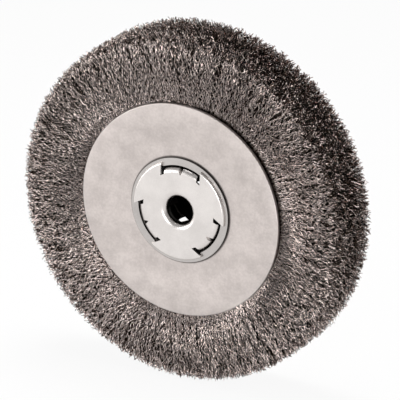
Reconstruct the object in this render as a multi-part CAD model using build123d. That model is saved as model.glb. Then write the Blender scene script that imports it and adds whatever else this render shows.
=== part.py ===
from build123d import *

import os
from math import asin, cos, degrees, radians

# Crimped-wire wheel brush, 8 inch, with a 2 inch arbor hole and a pair of pressed-steel reducing adapters.
# Millimetres. The wheel's axis is Y, its front is towards -Y, and the origin is the centre of the wheel.
# Every piece is first drawn about Z, with +Z out of the front of the wheel and Z = 0 in its middle plane.

# Overall sizes, with the body's width over the rims of its side plates
WHEEL_DIAMETER = 203.2
BODY_WIDTH = 31.0
PLATE_DIAMETER = 123.0
ARBOR_HOLE = 50.8
SHAFT_DIAMETER = 15.875

# Side plates
PLATE_SHEET = 1.5
DISH_DEPTH = 1.5
DISH_MARGIN = 1.5
DISH_AT_ROOTS = 0.6
PLATE_EDGE_ROUND = 0.5
JOGGLE_RUN = 1.0

# Arbor tube, rolled over the plates at both ends
TUBE_WALL = 1.0
FLARE_WIDTH = 3.4
FLARE_BEND = 1.6
TUBE_CLEARANCE = 0.1

# Holding rings and the folded wire roots round them
RING_INSET = 12.5
RING_HEIGHT = 3.0
RING_WIDTH = 5.0
ROOT_INNER_COVER = 2.5
ROOT_OUTER_COVER = 3.0
ROOT_CLEARANCE = 0.15
SECTOR_GAP = 0.2

# Crimped wire, as strands that each stand for a lock of wires and spread wider than the body
SECTORS = 8
STRANDS_PER_SECTOR = 9
LAYERS_PER_ROW = 3
STRAND_RADIUS = 1.3
STRAND_SIDES = 3
STRAND_SPANS = 4
STRAND_EMBED = 1.0
CRIMP_SIDEWAYS = 1.0
CRIMP_AXIAL = 0.5
TIP_EXTRA_WIDTH = 7.0
TIP_SCATTER = 1.4
STANDING_FLAT = 0.5
SCATTER_STEP = 0.618034

# Reducing adapters
ADAPTER_SHEET = 1.2
ADAPTER_SEAT_GAP = 0.05
BORE_CLEARANCE = 0.06
HUB_BEND = 3.2
HUB_WALL = 1.8
FLANGE_OVERLAP = 4.8
DISC_OVERLAP = 3.1
DISC_RISE = 1.6
DISC_SHOULDER = 1.0
SLOT_COUNT = 3
SLOT_FIRST_ANGLE = 86.5
REAR_ADAPTER_TURN = -3.0
SLOT_OVERLAP = 0.7
SLOT_WIDTH = 24.6
SLOT_LEG = 2.2
SLOT_LEG_LENGTH = 3.6
TAB_CLEARANCE = 0.3
TAB_BEND = 3.1
TAB_LENGTH = 10.0
TAB_CORNER = 2.0
DART_WIDTH = 2.8
DART_REACH = 1.1
DART_WEB = 1.4

# Places that follow from the sizes above
WHEEL_RADIUS = WHEEL_DIAMETER / 2
PLATE_RADIUS = PLATE_DIAMETER / 2
HOLE_RADIUS = ARBOR_HOLE / 2
BORE_RADIUS = SHAFT_DIAMETER / 2 + BORE_CLEARANCE

RIM_FACE = BODY_WIDTH / 2
CENTRE_FACE = RIM_FACE - DISH_DEPTH
SEAT_FACE = CENTRE_FACE - TUBE_WALL
FLARE_RADIUS = HOLE_RADIUS + FLARE_WIDTH
SEAT_RADIUS = FLARE_RADIUS + TUBE_CLEARANCE
FLANGE_RADIUS = HOLE_RADIUS + FLANGE_OVERLAP
DISC_RADIUS = HOLE_RADIUS + DISC_OVERLAP

DISH_OUTER = PLATE_RADIUS - DISH_MARGIN
DISH_INNER = FLANGE_RADIUS + DISH_MARGIN

RING_RADIUS = PLATE_RADIUS - RING_INSET
ROOT_INNER = RING_RADIUS - RING_HEIGHT / 2 - ROOT_INNER_COVER
ROOT_OUTER = RING_RADIUS + RING_HEIGHT / 2 + ROOT_OUTER_COVER
ROOT_REACH = min((DISH_OUTER - ROOT_INNER) / (DISH_OUTER - DISH_INNER), 1)
ROOT_DISH = max(DISH_AT_ROOTS, 1 - 2 * (1 - ROOT_REACH) ** 2)
ROOT_DEPTH = RIM_FACE - PLATE_SHEET - ROOT_DISH * DISH_DEPTH - ROOT_CLEARANCE
RING_MIDDLE = ROOT_DEPTH / 2
TIP_HEIGHT = (BODY_WIDTH + TIP_EXTRA_WIDTH) / 2

FLANGE_SEAT = CENTRE_FACE + ADAPTER_SEAT_GAP
FLANGE_FACE = FLANGE_SEAT + ADAPTER_SHEET
DISC_FACE = FLANGE_FACE + DISC_RISE
DISC_UNDER = DISC_FACE - ADAPTER_SHEET
SLOT_RADIUS = HOLE_RADIUS + SLOT_OVERLAP
TAB_OUTER = HOLE_RADIUS - TAB_CLEARANCE
TAB_START = TAB_OUTER - TAB_BEND


def ring_of(section):
    """Turns a section drawn as (radius, height) into a full ring about Z."""
    return revolve(Plane.XZ * section, Axis.Z)


def dish_curve(height):
    """The plate's dish as two equal arcs, from the flat rim in to the flat centre, with its two ends."""
    outer = (DISH_OUTER, height)
    inner = (DISH_INNER, height - DISH_DEPTH)
    middle = ((outer[0] + inner[0]) / 2, (outer[1] + inner[1]) / 2)
    first = TangentArc(outer, middle, tangent=(-1, 0))
    return outer, inner, [first, TangentArc(middle, inner, tangent=first % 1)]


def side_plate():
    """Stamped plate: flat rim, shallow dish, and a joggled inner edge under the tube's rolled end."""
    rim_back = RIM_FACE - PLATE_SHEET
    outer, inner, dish = dish_curve(RIM_FACE)
    back_outer, back_inner, back_dish = dish_curve(rim_back)
    hole = HOLE_RADIUS + TUBE_WALL + TUBE_CLEARANCE
    joggle = Polyline(
        inner,
        (SEAT_RADIUS + JOGGLE_RUN, CENTRE_FACE),
        (SEAT_RADIUS, SEAT_FACE),
        (hole, SEAT_FACE),
        (hole, SEAT_FACE - PLATE_SHEET),
        (SEAT_RADIUS, SEAT_FACE - PLATE_SHEET),
        (SEAT_RADIUS + JOGGLE_RUN, CENTRE_FACE - PLATE_SHEET),
        back_inner,
    )
    round_start = (PLATE_RADIUS, RIM_FACE - PLATE_EDGE_ROUND)
    round_end = (PLATE_RADIUS - PLATE_EDGE_ROUND, RIM_FACE)
    rim = [
        Polyline(back_outer, (PLATE_RADIUS, rim_back), round_start),
        RadiusArc(round_start, round_end, -PLATE_EDGE_ROUND),
        Line(round_end, outer),
    ]
    return ring_of(make_face([*dish, joggle, *back_dish, *rim]))


def arbor_tube():
    """Steel sleeve whose ends are rolled outwards, flush with the plates' centres."""
    wall = HOLE_RADIUS + TUBE_WALL
    roll = HOLE_RADIUS + FLARE_BEND
    straight = CENTRE_FACE - FLARE_BEND
    outline = [
        Polyline(
            (roll, CENTRE_FACE),
            (FLARE_RADIUS, CENTRE_FACE),
            (FLARE_RADIUS, SEAT_FACE),
            (wall, SEAT_FACE),
            (wall, -SEAT_FACE),
            (FLARE_RADIUS, -SEAT_FACE),
            (FLARE_RADIUS, -CENTRE_FACE),
            (roll, -CENTRE_FACE),
        ),
        RadiusArc((roll, -CENTRE_FACE), (HOLE_RADIUS, -straight), FLARE_BEND),
        Line((HOLE_RADIUS, -straight), (HOLE_RADIUS, straight)),
        RadiusArc((HOLE_RADIUS, straight), (roll, CENTRE_FACE), FLARE_BEND),
    ]
    return ring_of(make_face(outline))


def holding_ring():
    """Flat steel ring that one row of wires is folded over."""
    return ring_of(Pos(RING_RADIUS, RING_MIDDLE) * Rectangle(RING_HEIGHT, RING_WIDTH))


def scatter(index):
    """A fixed fraction from 0 to 1 that is spread evenly over any run of indexes, and is 0 at index 0."""
    return (index * SCATTER_STEP) % 1.0


def strand(angle, layer, index, lean, turn):
    """One crimped strand: equal sections, square to the wheel's radius, that step from side to side."""
    flare = (TIP_HEIGHT - STRAND_RADIUS - CRIMP_AXIAL) / (ROOT_DEPTH * (1 - 0.5 / LAYERS_PER_ROW))
    root_height = ROOT_DEPTH * (layer + 0.5) / LAYERS_PER_ROW
    root_radius = ROOT_OUTER - STRAND_EMBED
    tip_radius = WHEEL_RADIUS - TIP_SCATTER * scatter(index)
    outline = RegularPolygon(STRAND_RADIUS, STRAND_SIDES, rotation=turn).wire()
    sections = []
    for station in range(STRAND_SPANS + 1):
        along = station / STRAND_SPANS
        side = (-1) ** (station + index) if station else 0
        radius = root_radius + (tip_radius - root_radius) * along
        across = lean * along + CRIMP_SIDEWAYS * side
        height = root_height * (1 + (flare - 1) * along) + CRIMP_AXIAL * side
        place = Plane(origin=(radius, across, height), x_dir=(0, 1, 0), z_dir=(1, 0, 0))
        sections.append(place * outline)
    return Rot(0, 0, angle) * Solid.make_loft(sections, ruled=True)


def wire_sector(sector, row):
    """One sector of a row: the folded roots round the holding ring, with the strands fused to them."""
    sweep = 360 / SECTORS
    step = sweep / STRANDS_PER_SECTOR
    quarter = SECTORS * STRANDS_PER_SECTOR // 4
    middle_layer = (LAYERS_PER_ROW - 1) / 2
    gap = degrees(SECTOR_GAP / ROOT_INNER)
    roots = Pos((ROOT_INNER + ROOT_OUTER) / 2, ROOT_DEPTH / 2) * Rectangle(ROOT_OUTER - ROOT_INNER, ROOT_DEPTH)
    tunnel = Pos(RING_RADIUS, RING_MIDDLE) * Rectangle(
        RING_HEIGHT + 2 * ROOT_CLEARANCE, RING_WIDTH + 2 * ROOT_CLEARANCE
    )
    slice_ = revolve(Plane.XZ * (roots - tunnel), Axis.Z, revolution_arc=sweep - gap)
    slice_ = Rot(0, 0, sweep * (sector - 0.5) + gap / 2) * slice_
    strands = []
    for layer in range(LAYERS_PER_ROW):
        lean = WHEEL_RADIUS * radians(step) * (layer - middle_layer + row / 2) / LAYERS_PER_ROW
        for place in range(STRANDS_PER_SECTOR):
            offset = place - (STRANDS_PER_SECTOR - 1) / 2
            index = (sector * STRANDS_PER_SECTOR + place - STRANDS_PER_SECTOR // 2) % quarter
            turn = 180 / STRAND_SIDES * (place + layer + row)
            strands.append(strand(sweep * sector + step * offset, layer, index * (1 + row), lean, turn))
    return slice_.solid().fuse(*strands)


def standing_block():
    """What the wheel's flat stand leaves no room for, below the lowest wires."""
    return Pos(0, -WHEEL_RADIUS - STANDING_FLAT, 0) * Box(WHEEL_RADIUS, 4 * STANDING_FLAT, 2 * WHEEL_DIAMETER)


def adapter_body():
    """The adapter as pressed, before its slots: flange, raised disc and hub drawn into the wheel."""
    hub_wall = BORE_RADIUS + ADAPTER_SHEET
    hub_top = BORE_RADIUS + HUB_BEND
    bend_height = DISC_FACE - HUB_BEND
    hub_end = bend_height - HUB_WALL
    inner_wall = DISC_RADIUS - ADAPTER_SHEET
    outline = [
        Line((BORE_RADIUS, hub_end), (BORE_RADIUS, bend_height)),
        RadiusArc((BORE_RADIUS, bend_height), (hub_top, DISC_FACE), HUB_BEND),
        Line((hub_top, DISC_FACE), (DISC_RADIUS - DISC_SHOULDER, DISC_FACE)),
        RadiusArc(
            (DISC_RADIUS - DISC_SHOULDER, DISC_FACE), (DISC_RADIUS, DISC_FACE - DISC_SHOULDER), DISC_SHOULDER
        ),
        Polyline(
            (DISC_RADIUS, DISC_FACE - DISC_SHOULDER),
            (DISC_RADIUS, FLANGE_FACE),
            (FLANGE_RADIUS, FLANGE_FACE),
            (FLANGE_RADIUS, FLANGE_SEAT),
            (inner_wall, FLANGE_SEAT),
            (inner_wall, DISC_UNDER),
            (hub_top, DISC_UNDER),
        ),
        RadiusArc((hub_top, DISC_UNDER), (hub_wall, bend_height), -(HUB_BEND - ADAPTER_SHEET)),
        Polyline((hub_wall, bend_height), (hub_wall, hub_end), (BORE_RADIUS, hub_end)),
    ]
    return ring_of(make_face(outline))


def through_slot():
    """The U-shaped hole round a tab, which points along +Y."""
    half = SLOT_WIDTH / 2
    leg_place = half - SLOT_LEG / 2
    leg_top = SLOT_RADIUS * cos(asin(leg_place / SLOT_RADIUS))
    leg_end = leg_top - SLOT_LEG_LENGTH + SLOT_LEG / 2
    above = Pos(0, SLOT_RADIUS / 2) * Rectangle(SLOT_WIDTH, SLOT_RADIUS)
    outline = (Circle(SLOT_RADIUS) - Circle(TAB_START)) & above
    for side in (-1, 1):
        outline += Pos(side * leg_place, (leg_end + leg_top) / 2) * Rectangle(SLOT_LEG, leg_top - leg_end)
        outline += Pos(side * leg_place, leg_end) * Circle(SLOT_LEG / 2)
    return Pos(0, 0, FLANGE_SEAT - ADAPTER_SHEET) * extrude(outline, DISC_FACE - FLANGE_SEAT + 2 * ADAPTER_SHEET)


def strip_sector(inner, outer):
    """A flat piece of ring across the slot's width, on the side of +Y."""
    across = Pos(0, outer / 2) * Rectangle(SLOT_WIDTH, outer)
    return (Circle(outer) - Circle(inner)) & across


def lanced_tab():
    """The tab: bent in from the disc, curved to the arbor hole, with a dart pressed across its bend."""
    half = (SLOT_WIDTH - 2 * SLOT_LEG) / 2
    tab_inner = TAB_OUTER - ADAPTER_SHEET
    bend_height = DISC_FACE - TAB_BEND
    tab_end = DISC_FACE - TAB_LENGTH
    overlap = TAB_START - ADAPTER_SHEET / 2
    outline = [
        RadiusArc((TAB_START, DISC_FACE), (TAB_OUTER, bend_height), TAB_BEND),
        Polyline(
            (TAB_OUTER, bend_height), (TAB_OUTER, tab_end), (tab_inner, tab_end), (tab_inner, bend_height)
        ),
        RadiusArc((tab_inner, bend_height), (TAB_START, DISC_UNDER), -(TAB_BEND - ADAPTER_SHEET)),
        Polyline((TAB_START, DISC_UNDER), (overlap, DISC_UNDER), (overlap, DISC_FACE), (TAB_START, DISC_FACE)),
    ]
    tall = 2 * TAB_LENGTH
    shield = Plane.XZ * Pos(0, tab_end + tall / 2) * RectangleRounded(2 * half, tall, TAB_CORNER)
    tab = ring_of(make_face(outline)) & extrude(shield, -HOLE_RADIUS)
    web_start = TAB_START - DART_REACH - DART_WEB * 2**0.5 + ADAPTER_SHEET
    web = make_face(
        Polyline(
            (tab_inner, DISC_UNDER),
            (web_start, DISC_UNDER),
            (tab_inner, DISC_UNDER - tab_inner + web_start),
            close=True,
        )
    )
    return tab + extrude(Plane.YZ * web, DART_WIDTH / 2, both=True)


def dart_groove():
    """The V pressed into the outside of a tab's bend, at 45 degrees across it."""
    start = TAB_START - DART_REACH
    depth = TAB_BEND * (1 - 2**-0.5) + DART_REACH
    groove = make_face(Polyline((0, 0), (DART_WIDTH / 2, depth), (-DART_WIDTH / 2, depth), close=True))
    across = Plane(origin=(0, start, DISC_FACE), x_dir=(-1, 0, 0), z_dir=(0, 1, -1))
    return extrude(across * groove, (TAB_OUTER - start) * 2**0.5)


def adapter():
    """Pressed-steel reducing adapter with three slots, their low strips, and three tabs."""
    body = adapter_body()
    recess = extrude(strip_sector(SLOT_RADIUS, DISC_RADIUS), DISC_FACE - FLANGE_FACE)
    strip = extrude(strip_sector(SLOT_RADIUS, DISC_RADIUS), ADAPTER_SHEET)
    slot = through_slot()
    tab = lanced_tab()
    groove = dart_groove()
    for number in range(SLOT_COUNT):
        turn = Rot(0, 0, SLOT_FIRST_ANGLE - 90 + 360 / SLOT_COUNT * number)
        body -= turn * Pos(0, 0, FLANGE_FACE) * recess
        body += turn * Pos(0, 0, FLANGE_SEAT) * strip
        body -= turn * slot
        body += turn * tab
        body -= turn * groove
    return body


def save(shape, name):
    """Stands the wheel on its rim, with its front towards -Y, and writes one piece."""
    export_step(Rot(90, 0, 0) * shape, f"parts/{name}.step")


def main():
    """Builds each piece once for the front, mirrors what the back repeats, and writes them all."""
    os.makedirs("parts", exist_ok=True)
    save(arbor_tube(), "arbor_tube")
    for name, shape in {"plate": side_plate(), "holding_ring": holding_ring()}.items():
        save(shape, f"front_{name}")
        save(mirror(shape, Plane.XY), f"rear_{name}")
    pressed = adapter()
    save(pressed, "front_adapter")
    save(Rot(0, 0, REAR_ADAPTER_TURN) * mirror(pressed, Plane.XY), "rear_adapter")
    lowest = 3 * SECTORS // 4
    for sector in range(SECTORS):
        for row, side in enumerate(("front", "rear")):
            wires = wire_sector(sector, row)
            if sector == lowest:
                wires -= standing_block()
            wires = mirror(wires, Plane.XY) if row else wires
            save(wires, f"{side}_wires_{sector + 1}")


main()
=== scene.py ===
"""Looks of a crimped-wire wheel brush: dense crimped wire, stamped side plates and pressed steel adapters."""

import logging
import math
from dataclasses import dataclass
from enum import Enum
from typing import Any

import bmesh
import bpy
import numpy as np
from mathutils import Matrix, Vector


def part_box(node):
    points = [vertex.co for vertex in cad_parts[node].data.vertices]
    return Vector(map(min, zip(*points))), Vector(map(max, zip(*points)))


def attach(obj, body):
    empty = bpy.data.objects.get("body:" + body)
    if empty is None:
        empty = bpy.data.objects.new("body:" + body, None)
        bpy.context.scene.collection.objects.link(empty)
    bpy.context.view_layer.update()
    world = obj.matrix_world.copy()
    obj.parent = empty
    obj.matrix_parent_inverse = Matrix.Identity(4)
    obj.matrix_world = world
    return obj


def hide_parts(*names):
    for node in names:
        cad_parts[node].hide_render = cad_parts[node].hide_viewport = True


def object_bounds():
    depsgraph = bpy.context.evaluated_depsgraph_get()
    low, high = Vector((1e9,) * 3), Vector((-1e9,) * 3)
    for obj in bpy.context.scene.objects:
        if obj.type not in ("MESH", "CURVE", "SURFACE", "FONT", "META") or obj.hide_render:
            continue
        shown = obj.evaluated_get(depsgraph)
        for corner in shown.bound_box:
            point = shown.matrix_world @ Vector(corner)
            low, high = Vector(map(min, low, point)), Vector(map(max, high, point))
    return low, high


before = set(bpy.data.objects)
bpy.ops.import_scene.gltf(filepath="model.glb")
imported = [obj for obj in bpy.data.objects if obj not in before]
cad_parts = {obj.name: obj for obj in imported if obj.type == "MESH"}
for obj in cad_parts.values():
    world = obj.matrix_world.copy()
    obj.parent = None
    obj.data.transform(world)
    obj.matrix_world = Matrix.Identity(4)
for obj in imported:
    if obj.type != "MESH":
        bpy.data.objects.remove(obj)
CAD_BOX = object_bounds()

log = logging.getLogger("wire_wheel")

Colour = tuple[float, float, float]
Point = tuple[float, float, float]

MM = 0.001
TURN = 2 * math.pi
WHITE: Colour = (1.0, 1.0, 1.0)

# The numbers of a Mix node's sockets when it mixes colours, where names would be ambiguous.
MIX_SHARE, MIX_FIRST, MIX_SECOND = 0, 6, 7
MIX_RESULT = 2

SECTORS = 8
WIRE_SIDES = 3

# The wires' own map, and the tones on it where dull wire ends and bright wire starts.
WIRE_MAP = "OFBake"
DULL_UNTIL = 0.45
BRIGHT_FROM = 0.55

# Steps that spread the depths and the tones of neighbouring wires evenly, with no repeat.
LEVEL_STEP = math.sqrt(2) - 1
TONE_STEP = (math.sqrt(5) - 1) / 2

# How far a side plate's inner face lies behind its outermost point.
PLATE_DEPTH = 1.7 * MM

# How far the wires stay inside the CAD model's box.
RIM_MARGIN = 0.1 * MM
WIDTH_MARGIN = 0.05 * MM


class Row(Enum):
    """The two rows of wire, by the sign of Y on their side of the wheel."""

    FRONT = -1
    REAR = 1

    @property
    def label(self) -> str:
        """The row's name as the CAD nodes spell it."""
        return self.name.lower()


def add_object(name: str, data: bpy.types.ID) -> bpy.types.Object:
    """Puts a mesh, curve, lamp or camera in the scene.

    Args:
        name: The object's name.
        data: What it shows.

    Returns:
        The object.
    """
    made = bpy.data.objects.new(name, data)
    bpy.context.scene.collection.objects.link(made)
    return made


def smooth_rise(values: np.ndarray, start: float, end: float) -> np.ndarray:
    """A smooth rise from 0 where a value is at start to 1 where it is at end.

    Args:
        values: The values.
        start: Where the rise starts.
        end: Where it ends.

    Returns:
        The height of the rise at each value.
    """
    share = np.clip((values - start) / (end - start), 0, 1)
    return share * share * (3 - 2 * share)


class Shade:
    """One socket of a node tree, with operators that add Math nodes to the tree."""

    def __init__(self, sheet: "NodeSheet", socket: bpy.types.NodeSocket) -> None:
        """Wraps an output socket of a sheet's tree."""
        self.sheet = sheet
        self.socket = socket

    def maths(self, operation: str, first: "Shade | float", second: "Shade | float") -> "Shade":
        """Adds one Math node.

        Args:
            operation: Blender's name of the sum.
            first: A number or a Shade.
            second: A number or a Shade.

        Returns:
            The node's value.
        """
        return self.sheet.node("ShaderNodeMath", {"operation": operation}, {0: first, 1: second})

    def __add__(self, other: "Shade | float") -> "Shade":
        """Self plus other."""
        return self.maths("ADD", self, other)

    def __radd__(self, other: "Shade | float") -> "Shade":
        """Other plus self."""
        return self.maths("ADD", other, self)

    def __sub__(self, other: "Shade | float") -> "Shade":
        """Self minus other."""
        return self.maths("SUBTRACT", self, other)

    def __rsub__(self, other: "Shade | float") -> "Shade":
        """Other minus self."""
        return self.maths("SUBTRACT", other, self)

    def __mul__(self, other: "Shade | float") -> "Shade":
        """Self times other."""
        return self.maths("MULTIPLY", self, other)

    def __rmul__(self, other: "Shade | float") -> "Shade":
        """Other times self."""
        return self.maths("MULTIPLY", other, self)

    def at_least(self, other: "Shade | float") -> "Shade":
        """The larger of self and other."""
        return self.maths("MAXIMUM", self, other)

    def step(self, start: float, end: float) -> "Shade":
        """A smooth rise from 0 at start to 1 at end."""
        return self.sheet.node(
            "ShaderNodeMapRange",
            {"interpolation_type": "SMOOTHSTEP"},
            {"Value": self, "From Min": start, "From Max": end},
        )


class NodeSheet:
    """A node tree that is written as expressions."""

    def __init__(self, tree: bpy.types.NodeTree) -> None:
        """Takes a tree and empties it."""
        self.tree = tree
        tree.nodes.clear()

    def node(
        self, kind: str, settings: dict[str, Any], inputs: dict[Any, Any], output: int | str = 0
    ) -> Shade | None:
        """Adds one node.

        Args:
            kind: The node's type.
            settings: Its properties, set before its sockets, with a ramp's stops as "stops".
            inputs: Values or Shades by socket name or number.
            output: The output socket wanted.

        Returns:
            That output, or None where the node ends the tree.
        """
        made = self.tree.nodes.new(kind)
        for name, value in settings.items():
            if name == "stops":
                self._set_stops(made.color_ramp.elements, value)
            else:
                setattr(made, name, value)
        for key, value in inputs.items():
            socket = made.inputs[key]
            if isinstance(value, Shade):
                self.tree.links.new(value.socket, socket)
            elif isinstance(value, tuple) and socket.type == "RGBA":
                socket.default_value = (*value, 1.0)
            else:
                socket.default_value = value
        return Shade(self, made.outputs[output]) if made.outputs else None

    @staticmethod
    def _set_stops(elements: Any, stops: list[tuple[float, Colour]]) -> None:
        """Gives a colour ramp its stops.

        Args:
            elements: The ramp's elements.
            stops: A place from 0 to 1 and a colour for each stop.
        """
        while len(elements) < len(stops):
            elements.new(1.0)
        for element, (place, colour) in zip(elements, stops, strict=True):
            element.position = place
            element.color = (*colour, 1.0)

    def place(self) -> Shade:
        """The point on the object, in metres, in the wheel's own frame."""
        return self.node("ShaderNodeTexCoord", {}, {}, "Object")

    def axis(self, vector: Shade, name: str) -> Shade:
        """One axis of a vector: X, Y or Z."""
        return self.node("ShaderNodeSeparateXYZ", {}, {0: vector}, name)

    def noise(self, place: Shade, size: float, detail: float, rough: float = 0.5) -> Shade:
        """Cloudy noise from 0 to 1.

        Args:
            place: Where to read it.
            size: The size of its spots, in the units of place.
            detail: How many finer layers it has.
            rough: How strong those are.

        Returns:
            The noise value.
        """
        return self.node(
            "ShaderNodeTexNoise",
            {},
            {"Vector": place, "Scale": 1.0 / size, "Detail": detail, "Roughness": rough},
        )

    def blend(self, share: Shade, first: Shade | Colour, second: Shade | Colour) -> Shade:
        """A colour from first at share 0 to second at share 1."""
        return self.node(
            "ShaderNodeMix",
            {"data_type": "RGBA", "clamp_factor": True},
            {MIX_SHARE: share, MIX_FIRST: first, MIX_SECOND: second},
            MIX_RESULT,
        )

    def radius(self, place: Shade) -> Shade:
        """The distance from the wheel's axis, in metres."""
        flat = self.node("ShaderNodeVectorMath", {"operation": "MULTIPLY"}, {0: place, 1: (1.0, 0.0, 1.0)})
        return self.node("ShaderNodeVectorMath", {"operation": "LENGTH"}, {0: flat}, "Value")

    def height(self, place: Shade) -> Shade:
        """The distance from the wheel's middle plane, in metres."""
        return self.node("ShaderNodeMath", {"operation": "ABSOLUTE"}, {0: self.axis(place, "Y")})

    def outwards(self, place: Shade) -> Shade:
        """How far the surface faces away from the wheel's middle plane.

        Args:
            place: The point on the object.

        Returns:
            A value from -1 to 1.
        """
        facing = self.axis(self.node("ShaderNodeTexCoord", {}, {}, "Normal"), "Y")
        return facing * self.node("ShaderNodeMath", {"operation": "SIGN"}, {0: self.axis(place, "Y")})

    def bump(self, height: Shade, strength: float, distance: float) -> Shade:
        """A normal that is roughened by a height, of that strength and depth in metres."""
        return self.node(
            "ShaderNodeBump", {}, {"Height": height, "Strength": strength, "Distance": distance}
        )

    def surface(self, inputs: dict[Any, Any]) -> None:
        """Ends the tree in a Principled shader with these inputs."""
        self.output(self.node("ShaderNodeBsdfPrincipled", {}, inputs))

    def output(self, shader: Shade) -> None:
        """Ends a material's tree in this shader."""
        self.node("ShaderNodeOutputMaterial", {}, {"Surface": shader})


def new_sheet(name: str) -> tuple[bpy.types.Material, NodeSheet]:
    """A new material with an empty sheet.

    Args:
        name: The material's name.

    Returns:
        The material and its sheet.
    """
    material = bpy.data.materials.new(name)
    material.use_nodes = True
    return material, NodeSheet(material.node_tree)


class Where(Enum):
    """What painted shade is measured by: distance from the axis or from the middle plane, or facing."""

    RADIUS = "radius"
    HEIGHT = "height"
    OUTWARDS = "outwards"


@dataclass(frozen=True)
class Grime:
    """Painted shade: darkening that is deepest at one value of its measure, and gone at another."""

    where: Where
    full: float
    gone: float
    strength: float

    def share(self, sheet: NodeSheet, place: Shade) -> Shade:
        """How far the painted shade darkens the metal.

        Args:
            sheet: The material's sheet.
            place: The point on the object.

        Returns:
            A value from 0 to the painted shade's strength.
        """
        measures = {Where.RADIUS: sheet.radius, Where.HEIGHT: sheet.height, Where.OUTWARDS: sheet.outwards}
        return measures[self.where](place).step(self.gone, self.full) * self.strength


@dataclass(frozen=True)
class SheetSteel:
    """Bare steel sheet with a satin face, faint clouds from the mill, fine grain and painted shade."""

    name: str
    pale: Colour
    deep: Colour
    roughness: float
    roughness_swing: float
    cloud_size: float = 9.0 * MM
    cloud_detail: float = 4.0
    cloud_rough: float = 0.6
    cloud_share: float = 0.6
    grain_size: float = 1.3 * MM
    grain_detail: float = 3.0
    grain_rough: float = 0.65
    grain_depth: float = 0.012 * MM
    grain_strength: float = 0.35
    deep_until: float = 0.3
    pale_from: float = 0.7
    # Layers of painted shade, and the colour they darken towards.
    grime: tuple[Grime, ...] = ()
    painted_shade_colour: Colour = (0.03, 0.026, 0.023)

    def make(self) -> bpy.types.Material:
        """Builds the material.

        Returns:
            The material.
        """
        material, sheet = new_sheet(self.name)
        place = sheet.place()
        clouds = sheet.noise(place, self.cloud_size, self.cloud_detail, self.cloud_rough)
        grain = sheet.noise(place, self.grain_size, self.grain_detail, self.grain_rough)
        mottle = clouds * self.cloud_share + grain * (1.0 - self.cloud_share)
        colour = sheet.blend(mottle.step(self.deep_until, self.pale_from), self.deep, self.pale)
        # Painted shade: each layer darkens the colour where shade falls.
        for layer in self.grime:
            colour = sheet.blend(layer.share(sheet, place), colour, self.painted_shade_colour)
        sheet.surface(
            {
                "Base Color": colour,
                "Metallic": 1.0,
                "Roughness": self.roughness + (clouds - 0.5) * self.roughness_swing,
                "Normal": sheet.bump(grain, self.grain_strength, self.grain_depth),
            }
        )
        return material


@dataclass(frozen=True)
class WireSteel:
    """Drawn steel wire, each wire in its own tone, with painted glints and shade, and a lighter tip.

    Attributes:
        name: The material's name.
        dark: The colour of the dullest wire, and of the painted shade along a wire.
        dim: The colour where dull wire ends.
        pale: The colour where bright wire starts.
        bright: The colour of the brightest wire.
        edge: The tint at grazing angles.
        tip_light_and_polish: How much a wire's tone rises at its tip: polish, and painted light on the tread.
        light_and_polish_start: How far along the wire that starts.
        stretches: How many painted glints and stretches of painted shade there are along a wire.
        stretch_shift: How far apart wires of different tones read the noise that makes them.
        painted_shade_until: The noise value where a stretch of painted shade ends.
        painted_glint_from: The noise value where a painted glint starts.
        painted_shade_depth: How much of its colour a stretch of painted shade loses.
        roughness: The surface's roughness.
    """

    name: str = "wire_steel"
    dark: Colour = (0.02, 0.011, 0.008)
    dim: Colour = (0.05, 0.033, 0.026)
    pale: Colour = (0.72, 0.62, 0.58)
    bright: Colour = (1.0, 0.89, 0.85)
    edge: Colour = (0.68, 0.42, 0.32)
    tip_light_and_polish: float = 0.34
    light_and_polish_start: float = 0.82
    stretches: float = 24.0
    stretch_shift: float = 9.0
    painted_shade_until: float = 0.42
    painted_glint_from: float = 0.58
    painted_shade_depth: float = 0.95
    roughness: float = 0.15

    def make(self) -> bpy.types.Material:
        """Builds the material, which reads the wires' own map: along the wire, and across its tone.

        Returns:
            The material.
        """
        material, sheet = new_sheet(self.name)
        spot = sheet.node("ShaderNodeUVMap", {"uv_map": WIRE_MAP}, {})
        along, tone = sheet.axis(spot, "X"), sheet.axis(spot, "Y")
        stops = [(0.0, self.dark), (DULL_UNTIL, self.dim), (BRIGHT_FROM, self.pale), (1.0, self.bright)]
        # Polish and painted light: the tone rises towards the tip, which lightens the tread and its fringe.
        tip_lit_polish_tone = tone + along.step(self.light_and_polish_start, 1.0) * self.tip_light_and_polish
        colour = sheet.node("ShaderNodeValToRGB", {"stops": stops}, {0: tip_lit_polish_tone})
        # Painted glints and shade: random bright and dark stretches along each wire, for light on the crimps.
        strip = sheet.node("ShaderNodeCombineXYZ", {}, {0: along, 1: tone * self.stretch_shift})
        painted_glint = sheet.noise(strip, 1.0 / self.stretches, detail=1.0).step(self.painted_shade_until, self.painted_glint_from)
        light = 1.0 - self.painted_shade_depth + self.painted_shade_depth * painted_glint
        shaded = sheet.blend(light, self.dark, colour)
        sheet.surface(
            {"Base Color": shaded, "Metallic": 1.0, "Roughness": self.roughness, "Specular Tint": self.edge}
        )
        return material


@dataclass(frozen=True)
class WireKind:
    """How many wires of one kind run through a sector of a row, how deep, how crimped and in what tones.

    Attributes:
        count: The wires in one sector.
        inner_depth: Where the innermost lie, as a share of the way out from the middle plane.
        outer_depth: Where the outermost lie.
        crimp_start: The radius where the crimp starts.
        crimps: The bends from there to the tip.
        bright_share: The share of bright wires.
        painted_depth_shade: How strongly those keep outside, from 0 to 1, as painted shade on deep wires.
    """

    count: int
    inner_depth: float
    outer_depth: float
    crimp_start: float
    crimps: int
    bright_share: float
    painted_depth_shade: float


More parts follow.
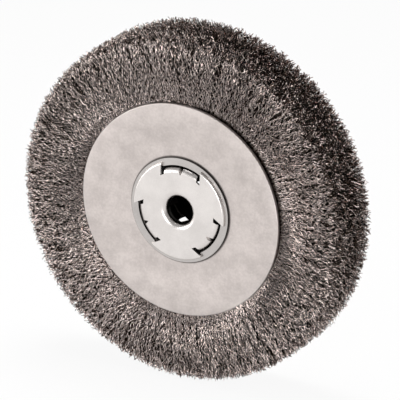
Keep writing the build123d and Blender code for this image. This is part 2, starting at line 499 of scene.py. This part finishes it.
SKIN_WIRES = WireKind(
    count=660,
    inner_depth=0.82,
    outer_depth=1.0,
    crimp_start=60.5 * MM,
    crimps=14,
    bright_share=0.41,
    painted_depth_shade=0.6,
)
CORE_WIRES = WireKind(
    count=880,
    inner_depth=0.0,
    outer_depth=0.84,
    crimp_start=80.0 * MM,
    crimps=8,
    bright_share=0.74,
    painted_depth_shade=0.4,
)


@dataclass(frozen=True)
class RowEdge:
    """How a row is trimmed: how far inside the wheel's width, how rounded at its edge and how unevenly."""

    inset: float
    drop: float
    scatter: float


ROW_EDGES = {
    Row.FRONT: RowEdge(inset=2.0 * MM, drop=3.0 * MM, scatter=0.8 * MM),
    Row.REAR: RowEdge(inset=0.0, drop=0.0, scatter=0.9 * MM),
}


@dataclass
class Wires:
    """Centre lines of wires, as an array of wires by points by 3, with a tone from 0 to 1 for each."""

    points: np.ndarray
    tones: np.ndarray


@dataclass
class WireRow:
    """One row of the brush: thousands of crimped wires in eight sectors, from roots to trimmed rim.

    Attributes:
        row: Which row it is.
        edge: How it is trimmed.
        plate_back: How far the plate's inner face is from the middle plane.
        rim_radius: The radius that the longest wires reach.
        half_width: How far the outermost wires are from the middle plane.
        floor: How far below the axis the surface is that the wheel stands on.
        root_radius: The radius where the wires start.
        wire_radius: Half the thickness of a wire.
        spread_from: The radius where the row starts to spread.
        spread_until: The radius where it has its full width.
        lean: How far tips stray round the rim from their roots.
        wander: The size of a wire's slow wave round the wheel.
        weave: The size of its slow wave across the row.
        wave_span: The fewest and most radians of a slow wave from root to rim.
        crimp_height: How far bends stand off the wire's line.
        crimp_swing: The least and most of that height that a bend has.
        crimp_shift: How far a wire's bends move together, as a share of their spacing.
        crimp_jitter: How far a bend moves by itself, as a share of their spacing.
        crimp_tilt: How far a crimp may tilt out of the wheel's plane, in radians.
        clamped_ripple: How much of a tilted crimp is left where the plates clamp the wire.
        tuft_size: The spacing of tufts.
        tuft_margin: How far a tuft stays from the edge of its cell, as a share of the cell.
        tuft_pull: How far tips are drawn towards their tuft, as a share of the way.
        tuft_power: How late along the wire that pull sets in.
        tuft_taper: How much shorter tips are with their distance from their tuft.
        edge_from: The share of the half width where the row's rounded edge starts.
        scatter_shape: The shape of the gamma curve that shortens tips unevenly.
        stray_share: The share of tips that stand out.
        stray_scatter: How much of their shortening those keep.
        least_fall: The least slope at which a wire is held above the surface below.
        tone_strips: The strips of the map, one for each tone.
        strip_places: Where a wire's three corners lie across a strip.
        map_margin: The margin at both ends of the map.
        seed: Where the random draws start.
        kinds: The kinds of wire.
    """

    row: Row
    edge: RowEdge
    plate_back: float
    rim_radius: float
    half_width: float
    floor: float
    root_radius: float = 53.0 * MM
    wire_radius: float = 0.21 * MM
    spread_from: float = 62.0 * MM
    spread_until: float = 90.0 * MM
    lean: float = 3.0 * MM
    wander: float = 0.9 * MM
    weave: float = 1.0 * MM
    wave_span: tuple[float, float] = (8.0, 20.0)
    crimp_height: float = 0.85 * MM
    crimp_swing: tuple[float, float] = (0.6, 1.2)
    crimp_shift: float = 0.5
    crimp_jitter: float = 0.2
    crimp_tilt: float = 0.9
    clamped_ripple: float = 0.35
    tuft_size: float = 3.0 * MM
    tuft_margin: float = 0.1
    tuft_pull: float = 0.25
    tuft_power: int = 4
    tuft_taper: float = 0.5
    edge_from: float = 0.6
    scatter_shape: float = 3.0
    stray_share: float = 0.05
    stray_scatter: float = 0.1
    least_fall: float = 0.001
    tone_strips: int = 32
    strip_places: tuple[float, ...] = (0.2, 0.5, 0.8)
    map_margin: float = 0.02
    seed: int = 20
    kinds: tuple[WireKind, ...] = (SKIN_WIRES, CORE_WIRES)

    def tuft_centres(self) -> np.ndarray:
        """Where the tips of neighbouring wires gather, as places round the rim and out from the middle plane.

        Returns:
            An array of (distance round the rim, distance from the middle plane), in metres.
        """
        chance = np.random.default_rng(self.seed + self.row.value)
        around = round(TURN * self.rim_radius / self.tuft_size)
        across = round(self.half_width / self.tuft_size)
        grid = np.stack(np.meshgrid(np.arange(around), np.arange(across), indexing="ij"), -1).reshape(-1, 2)
        jitter = chance.uniform(self.tuft_margin, 1 - self.tuft_margin, grid.shape)
        places = (grid + jitter) / (around, across)
        return places * (TURN * self.rim_radius, self.half_width)

    def bearings(
        self, chance: np.random.Generator, sector: int, count: int
    ) -> tuple[np.ndarray, np.ndarray]:
        """Where round the wheel the wires of a sector start and end.

        Args:
            chance: The source of randomness.
            sector: The sector's number.
            count: How many wires it has.

        Returns:
            The bearings of the roots and of the tips, in radians.
        """
        arc = TURN / SECTORS
        slots = np.arange(count)
        aims = slots + chance.normal(0, self.lean / (arc * self.rim_radius) * count, count)
        # Tips are spaced evenly in the order of their aims, and one that leans past a seam stays past it.
        ends = np.argsort(np.argsort(aims % count)) + count * np.floor(aims / count)
        places = np.stack([slots, ends]) + chance.uniform(0, 1, (2, count))
        start, end = arc * (sector - 0.5 + places / count)
        return start, end

    def tips(
        self, chance: np.random.Generator, tip: np.ndarray, tufts: np.ndarray
    ) -> tuple[np.ndarray, np.ndarray]:
        """Where tips end up once they gather in tufts.

        Args:
            chance: The source of randomness.
            tip: Where each wire would end, as for tuft_centres.
            tufts: The tufts' centres.

        Returns:
            The radius of each tip, and its shift round the rim and out from the middle plane.
        """
        apart = np.linalg.norm(tip[:, None, :] - tufts[None, :, :], axis=-1)
        nearest = apart.argmin(1)
        radius = self.rim_radius - self.tuft_taper * apart[np.arange(len(tip)), nearest]
        edge = np.clip((tip[:, 1] / self.half_width - self.edge_from) / (1 - self.edge_from), 0, 1)
        scatter = chance.gamma(self.scatter_shape, self.edge.scatter, len(tip))
        scatter[chance.uniform(0, 1, len(tip)) < self.stray_share] *= self.stray_scatter
        radius -= scatter + self.edge.drop * edge**2
        # The lowest wires end on the surface that the wheel stands on.
        fall = np.maximum(-np.sin(tip[:, 0] / self.rim_radius), self.least_fall)
        radius = np.minimum(radius, (self.floor - 2 * self.wire_radius) / fall)
        return radius, self.tuft_pull * (tufts[nearest] - tip)

    def radii(self, chance: np.random.Generator, kind: WireKind, tip_radius: np.ndarray) -> np.ndarray:
        """How far from the axis each wire bends.

        Args:
            chance: The source of randomness.
            kind: The kind of wire.
            tip_radius: The radius of each tip.

        Returns:
            An array of wires by points: the root, the bends of the crimp and the tip.
        """
        count, points = kind.count, kind.crimps + 2
        share = np.zeros((count, points))
        share[:, 1:] = np.linspace(0, 1, points - 1)
        shift = chance.uniform(-self.crimp_shift, self.crimp_shift, (count, 1))
        jitter = chance.uniform(-self.crimp_jitter, self.crimp_jitter, (count, points - 3))
        share[:, 2:-1] += (shift + jitter) / (points - 2)
        radius = kind.crimp_start + share * (tip_radius[:, None] - kind.crimp_start)
        radius[:, 0] = self.root_radius
        return radius

    def crimp(self, chance: np.random.Generator, count: int, points: int) -> tuple[np.ndarray, np.ndarray]:
        """The zigzag of each wire.

        Args:
            chance: The source of randomness.
            count: How many wires there are.
            points: How many points each has.

        Returns:
            The height of each bend to either side, and each wire's tilt out of the wheel's plane in radians.
        """
        side = np.where((np.arange(points) + chance.integers(0, 2, (count, 1))) % 2, 1.0, -1.0)
        height = self.crimp_height * chance.uniform(*self.crimp_swing, (count, points)) * side
        height[:, 0] = 0
        return height, chance.uniform(-self.crimp_tilt, self.crimp_tilt, (count, 1))

    def wave(self, chance: np.random.Generator, size: float, along: np.ndarray) -> np.ndarray:
        """A slow wave along each wire, from a random start and of a random length.

        Args:
            chance: The source of randomness.
            size: The height of the wave.
            along: How far along its wire each point is, from 0 to 1.

        Returns:
            The wave at each point.
        """
        start = chance.uniform(0, TURN, (len(along), 1))
        return size * np.sin(start + chance.uniform(*self.wave_span, (len(along), 1)) * along)

    @staticmethod
    def tones(chance: np.random.Generator, kind: WireKind, level: np.ndarray) -> np.ndarray:
        """How bright each wire is, with more bright wires on the outside: painted shade on deeper wires.

        Args:
            chance: The source of randomness.
            kind: The kind of wire.
            level: How far out each wire lies among its kind, from 0 to 1.

        Returns:
            A tone from 0 to 1 for each wire.
        """
        spread = np.arange(kind.count) * TONE_STEP % 1
        # Painted shade: bright tones go mostly to outer wires, so deeper wires are darker.
        rank = kind.painted_depth_shade * level + (1 - kind.painted_depth_shade) * spread
        is_bright = rank > np.quantile(rank, 1 - kind.bright_share)
        bright, dull = chance.uniform(BRIGHT_FROM, 1, kind.count), chance.uniform(0, DULL_UNTIL, kind.count)
        return np.where(is_bright, bright, dull)

    def routes(self, sector: int, kind: WireKind, tufts: np.ndarray) -> Wires:
        """The wires of one kind in one sector.

        Args:
            sector: The sector's number, from 0 at +X, turning towards +Z.
            kind: The kind of wire.
            tufts: The places where tips gather.

        Returns:
            The wires, in the order of their roots.
        """
        chance = np.random.default_rng((self.seed, sector, self.kinds.index(kind), self.row.value + 1))
        start, end = self.bearings(chance, sector, kind.count)
        level = np.arange(kind.count) * LEVEL_STEP % 1
        depth = kind.inner_depth + (kind.outer_depth - kind.inner_depth) * level
        tip = np.stack([(end % TURN) * self.rim_radius, depth * self.half_width], -1)
        tip_radius, pull = self.tips(chance, tip, tufts)
        radius = self.radii(chance, kind, tip_radius)
        along = (radius - self.root_radius) / (self.rim_radius - self.root_radius)
        height, tilt = self.crimp(chance, *radius.shape)
        wander, weave = (self.wave(chance, size, along) for size in (self.wander, self.weave))

        # The row is clamped between the plates and spreads to its full width outside them.
        flare = smooth_rise(radius, self.spread_from, self.spread_until)
        under = self.plate_back - self.crimp_height
        width = under + (self.half_width - under) * flare
        gather = along**self.tuft_power
        across = pull[:, :1] * gather + height * np.cos(tilt) + wander * flare
        freedom = self.clamped_ripple + (1 - self.clamped_ripple) * flare
        ripple = height * np.sin(tilt) * freedom + weave * flare
        out = depth[:, None] * width + pull[:, 1:] * gather + ripple
        # Wires that would cross the middle plane or leave the row's face are folded back.
        limit = self.half_width - self.wire_radius
        out = limit - np.abs(limit - np.abs(out))
        bearing = start[:, None] + (end - start)[:, None] * along + across / radius
        path = np.stack([radius * np.cos(bearing), self.row.value * out, radius * np.sin(bearing)], -1)
        return Wires(path, self.tones(chance, kind, level))

    def section(self) -> bpy.types.Object:
        """The wires' three-sided section, as a curve that others are swept with.

        Returns:
            The curve's object.
        """
        curve = bpy.data.curves.new("wire_section", "CURVE")
        spline = curve.splines.new("POLY")
        spline.points.add(WIRE_SIDES - 1)
        for number, point in enumerate(spline.points):
            corner = -TURN * number / WIRE_SIDES
            point.co = (self.wire_radius * math.cos(corner), self.wire_radius * math.sin(corner), 0, 1)
        spline.use_cyclic_u = True
        return add_object("wire_section", curve)

    def sweep(self, name: str, bundles: list[Wires]) -> bpy.types.Mesh:
        """Sweeps the wire's section along the wires' centre lines.

        Args:
            name: The mesh's name.
            bundles: The wires.

        Returns:
            One mesh of closed tubes, in the order of the wires.
        """
        section = self.section()
        curve = bpy.data.curves.new(name, "CURVE")
        curve.dimensions = "3D"
        curve.bevel_mode = "OBJECT"
        curve.bevel_object = section
        for wires in bundles:
            ones = np.ones((*wires.points.shape[:2], 1))
            for points in np.concatenate([wires.points, ones], -1):
                spline = curve.splines.new("POLY")
                spline.points.add(len(points) - 1)
                spline.points.foreach_set("co", points.ravel())
        holder = add_object(name, curve)
        swept = holder.evaluated_get(bpy.context.evaluated_depsgraph_get())
        mesh = bpy.data.meshes.new_from_object(swept)
        bpy.data.objects.remove(holder)
        bpy.data.objects.remove(section)
        mesh.name = name
        self.close_ends(mesh)
        return mesh

    @staticmethod
    def close_ends(mesh: bpy.types.Mesh) -> None:
        """Closes the cut ends of swept wires with sharp-edged caps, and turns all faces outwards.

        Args:
            mesh: The swept wires.
        """
        shape = bmesh.new()
        shape.from_mesh(mesh)
        for face in shape.faces:
            face.smooth = True
        ends = [edge for edge in shape.edges if edge.is_boundary]
        bmesh.ops.holes_fill(shape, edges=ends, sides=WIRE_SIDES)
        for edge in ends:
            edge.smooth = False
        bmesh.ops.recalc_face_normals(shape, faces=shape.faces)
        shape.to_mesh(mesh)
        shape.free()

    def draw_map(self, mesh: bpy.types.Mesh, bundles: list[Wires]) -> None:
        """Gives each wire a strip of the map: its length from left to right, at the height of its tone.

        Args:
            mesh: The swept wires.
            bundles: The wires that they follow.
        """
        places = []
        for wires in bundles:
            size = (*wires.points.shape[:2], WIRE_SIDES)
            along = np.linspace(self.map_margin, 1 - self.map_margin, size[1])[None, :, None]
            strip = np.floor(wires.tones * self.tone_strips)
            height = (strip[:, None, None] + np.array(self.strip_places)) / self.tone_strips
            both = [np.broadcast_to(along, size), np.broadcast_to(height, size)]
            places.append(np.stack(both, -1).reshape(-1, 2))
        spots = np.concatenate(places)
        corners = np.empty(len(mesh.loops), np.int32)
        mesh.loops.foreach_get("vertex_index", corners)
        for layer in list(mesh.uv_layers):
            mesh.uv_layers.remove(layer)
        layer = mesh.uv_layers.new(name=WIRE_MAP)
        layer.uv.foreach_set("vector", spots[corners].astype(np.float32).ravel())

    def build(self, finish: bpy.types.Material) -> None:
        """Builds the row's eight sectors in place of their CAD nodes.

        Args:
            finish: The wire's material.
        """
        tufts = self.tuft_centres()
        for sector in range(SECTORS):
            node = f"{self.row.label}_wires_{sector + 1}"
            bundles = [self.routes(sector, kind, tufts) for kind in self.kinds]
            mesh = self.sweep(f"{self.row.label}_brush_{sector + 1}", bundles)
            self.draw_map(mesh, bundles)
            mesh.materials.append(finish)
            piece = add_object(mesh.name, mesh)
            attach(piece, "wheel")
            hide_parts(node)
            count = sum(len(wires.tones) for wires in bundles)
            triangles = sum(len(face.vertices) - 2 for face in mesh.polygons)
            log.info("%s: %d wires, %d triangles", piece.name, count, triangles)


@dataclass
class SteelPieces:
    """CAD pieces that keep their shape and share one finish."""

    nodes: tuple[str, ...]
    finish: SheetSteel

    def dress(self) -> None:
        """Gives each piece the finish."""
        material = self.finish.make()
        for name in self.nodes:
            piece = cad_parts[name]
            piece.data.materials.clear()
            piece.data.materials.append(material)
            log.info("%s: %s", name, material.name)


@dataclass(frozen=True)
class Softbox:
    """One square soft lamp that faces the wheel, with its place and size in metres and its power in watts."""

    name: str
    place: Point
    size: float
    power: float

    def hang(self) -> None:
        """Makes the lamp."""
        data = bpy.data.lights.new(self.name, "AREA")
        data.size = self.size
        data.energy = self.power
        lamp = add_object(self.name, data)
        lamp.location = self.place
        lamp.rotation_mode = "QUATERNION"
        lamp.rotation_quaternion = Vector(self.place).to_track_quat("Z", "Y")


@dataclass
class Studio:
    """The white surface, the soft light and the camera.

    Attributes:
        floor_level: The height of the surface.
        azimuth: The camera's bearing in degrees, from -Y towards +X.
        elevation: The camera's height above the horizon in degrees.
        distance: How far the camera is from the wheel's centre.
        sensor_mm: The width of the camera's sensor.
        focal_pixels: The focal length in pixels of the photograph.
        frame_pixels: The photograph's width.
        aim_right: How far to the right of the wheel's centre the camera aims.
        aim_up: How far above it.
        floor_size: The width of the surface.
        floor_share: How much of the surface is plain white to the camera, with the rest lit paper.
        paper: The paper's level of grey.
        ambient: The level of light from all round.
        room: The level of the dim room that metal mirrors.
        room_until: How far back the room reaches, as the Y of a direction.
        backdrop_from: Where the white backdrop is full, as the Y of a direction.
        softboxes: The lamps.
    """

    floor_level: float
    azimuth: float = 29.38
    elevation: float = 21.13
    distance: float = 2.2
    sensor_mm: float = 36.0
    focal_pixels: float = 3990.4
    frame_pixels: float = 400.0
    aim_right: float = 3.8 * MM
    aim_up: float = 0.83 * MM
    floor_size: float = 8.0
    floor_share: float = 0.91
    paper: float = 0.88
    ambient: float = 0.3
    room: float = 0.4
    room_until: float = -0.3
    backdrop_from: float = 0.5
    softboxes: tuple[Softbox, ...] = (
        Softbox("key", (-0.6, -0.55, 0.15), 0.45, 3.1),
        Softbox("front", (0.15, -1.0, 0.1), 0.4, 3.8),
        Softbox("top", (-0.1, 0.15, 0.9), 0.45, 6.4),
        Softbox("fill", (0.8, 0.35, 0.25), 0.6, 2.5),
    )

    def back(self) -> Vector:
        """The direction from the wheel to the camera."""
        turn, rise = math.radians(self.azimuth), math.radians(self.elevation)
        return Vector((math.sin(turn) * math.cos(rise), -math.cos(turn) * math.cos(rise), math.sin(rise)))

    def add_camera(self) -> None:
        """Makes the camera at the photograph's viewing angle."""
        data = bpy.data.cameras.new("camera")
        data.sensor_width = self.sensor_mm
        data.lens = self.focal_pixels / self.frame_pixels * data.sensor_width
        camera = add_object("camera", data)
        back = self.back()
        right = Vector((0, 0, 1)).cross(back).normalized()
        aim = right * self.aim_right + back.cross(right) * self.aim_up
        camera.location = back * self.distance
        camera.rotation_mode = "QUATERNION"
        camera.rotation_quaternion = (aim - camera.location).to_track_quat("-Z", "Y")
        bpy.context.scene.camera = camera

    @staticmethod
    def ray(sheet: NodeSheet, kind: str) -> Shade:
        """1 for rays of one kind, such as Camera, and 0 for others."""
        return sheet.node("ShaderNodeLightPath", {}, {}, f"Is {kind} Ray")

    def mirrored(self, sheet: NodeSheet) -> Shade:
        """1 for rays that show the surroundings in metal or through glass."""
        return self.ray(sheet, "Glossy").at_least(self.ray(sheet, "Transmission"))

    def add_floor(self) -> None:
        """Lays the white surface that the wheel stands on."""
        material, sheet = new_sheet("floor_white")
        paper = sheet.node("ShaderNodeBsdfDiffuse", {}, {"Color": (self.paper, self.paper, self.paper)})
        glow = sheet.node("ShaderNodeEmission", {}, {"Color": WHITE, "Strength": 1.0})
        share = self.ray(sheet, "Camera").at_least(self.mirrored(sheet)) * self.floor_share
        sheet.output(sheet.node("ShaderNodeMixShader", {}, {0: share, 1: paper, 2: glow}))
        shape = bmesh.new()
        bmesh.ops.create_grid(shape, x_segments=1, y_segments=1, size=self.floor_size / 2)
        bmesh.ops.translate(shape, verts=shape.verts, vec=(0, 0, self.floor_level))
        mesh = bpy.data.meshes.new("floor")
        shape.to_mesh(mesh)
        shape.free()
        mesh.materials.append(material)
        floor = add_object("floor", mesh)

    def add_surroundings(self) -> None:
        """Makes the surroundings: a white backdrop behind the wheel, and a dim room on the camera's side."""
        world = bpy.data.worlds.new("surroundings")
        world.use_nodes = True
        sheet = NodeSheet(world.node_tree)
        bearing = sheet.node("ShaderNodeTexCoord", {}, {}, "Generated")
        behind = sheet.axis(bearing, "Y").step(self.room_until, self.backdrop_from)
        backdrop = self.room + (1.0 - self.room) * behind
        mirrored = self.mirrored(sheet)
        level = self.ray(sheet, "Camera").at_least(mirrored * backdrop + (1.0 - mirrored) * self.ambient)
        sky = sheet.node("ShaderNodeBackground", {}, {"Color": WHITE, "Strength": level})
        sheet.node("ShaderNodeOutputWorld", {}, {"Surface": sky})
        bpy.context.scene.world = world

    def build(self) -> None:
        """Builds the whole studio."""
        self.add_camera()
        self.add_floor()
        self.add_surroundings()
        for softbox in self.softboxes:
            softbox.hang()
        bpy.context.scene.view_settings.view_transform = "Standard"


def dress_steel() -> None:
    """Gives the plates, the adapters and the pieces inside the wheel their finishes."""
    adapter_low, adapter_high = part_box("front_adapter")
    flange, disc = adapter_high.x, -adapter_low.y
    # Painted shadow: a dark ring on the plate just outside the adapter's flange, where its edge casts shade.
    painted_flange_shadow = Grime(Where.RADIUS, full=flange + 0.5 * MM, gone=flange + 1.4 * MM, strength=0.85)
    # Painted shade: darker below the disc's face, on the lowered strips, the flange and the hub bend.
    painted_recess_shade = Grime(Where.HEIGHT, full=disc - 2.6 * MM, gone=disc - 1.0 * MM, strength=0.97)
    # Painted shade: faces that turn towards the wheel's middle plane, within the bore, are near black.
    inside = Grime(Where.OUTWARDS, full=-0.5, gone=-0.1, strength=0.97)
    plate_steel = SheetSteel(
        "plate_steel",
        pale=(0.575, 0.522, 0.498),
        deep=(0.45, 0.405, 0.386),
        roughness=0.46,
        roughness_swing=0.14,
        grime=(painted_flange_shadow,),
    )
    adapter_steel = SheetSteel(
        "adapter_steel",
        pale=(0.76, 0.72, 0.695),
        deep=(0.645, 0.609, 0.587),
        roughness=0.3,
        roughness_swing=0.1,
        cloud_size=14.0 * MM,
        grain_size=0.5 * MM,
        grain_depth=0.006 * MM,
        grime=(painted_recess_shade, inside),
    )
    # Painted shade: the pieces within the bore are near black.
    bore_shade_steel = SheetSteel(
        "bore_shade_steel",
        pale=(0.12, 0.108, 0.1),
        deep=(0.06, 0.054, 0.05),
        roughness=0.55,
        roughness_swing=0.2,
    )
    SteelPieces(("front_plate", "rear_plate"), plate_steel).dress()
    SteelPieces(("front_adapter", "rear_adapter"), adapter_steel).dress()
    SteelPieces(("arbor_tube", "front_holding_ring", "rear_holding_ring"), bore_shade_steel).dress()


def main() -> None:
    """Builds each sub-assembly in order."""
    logging.basicConfig(level=logging.INFO, format="%(name)s: %(message)s")
    dress_steel()
    wire = WireSteel().make()
    plate_low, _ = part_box("front_plate")
    for row, edge in ROW_EDGES.items():
        WireRow(
            row=row,
            edge=edge,
            plate_back=-plate_low.y - PLATE_DEPTH,
            rim_radius=CAD_BOX[1].x - RIM_MARGIN,
            half_width=CAD_BOX[1].y - WIDTH_MARGIN - edge.inset,
            floor=-CAD_BOX[0].z,
        ).build(wire)
    Studio(CAD_BOX[0].z).build()


if __name__ == "__main__":
    main()
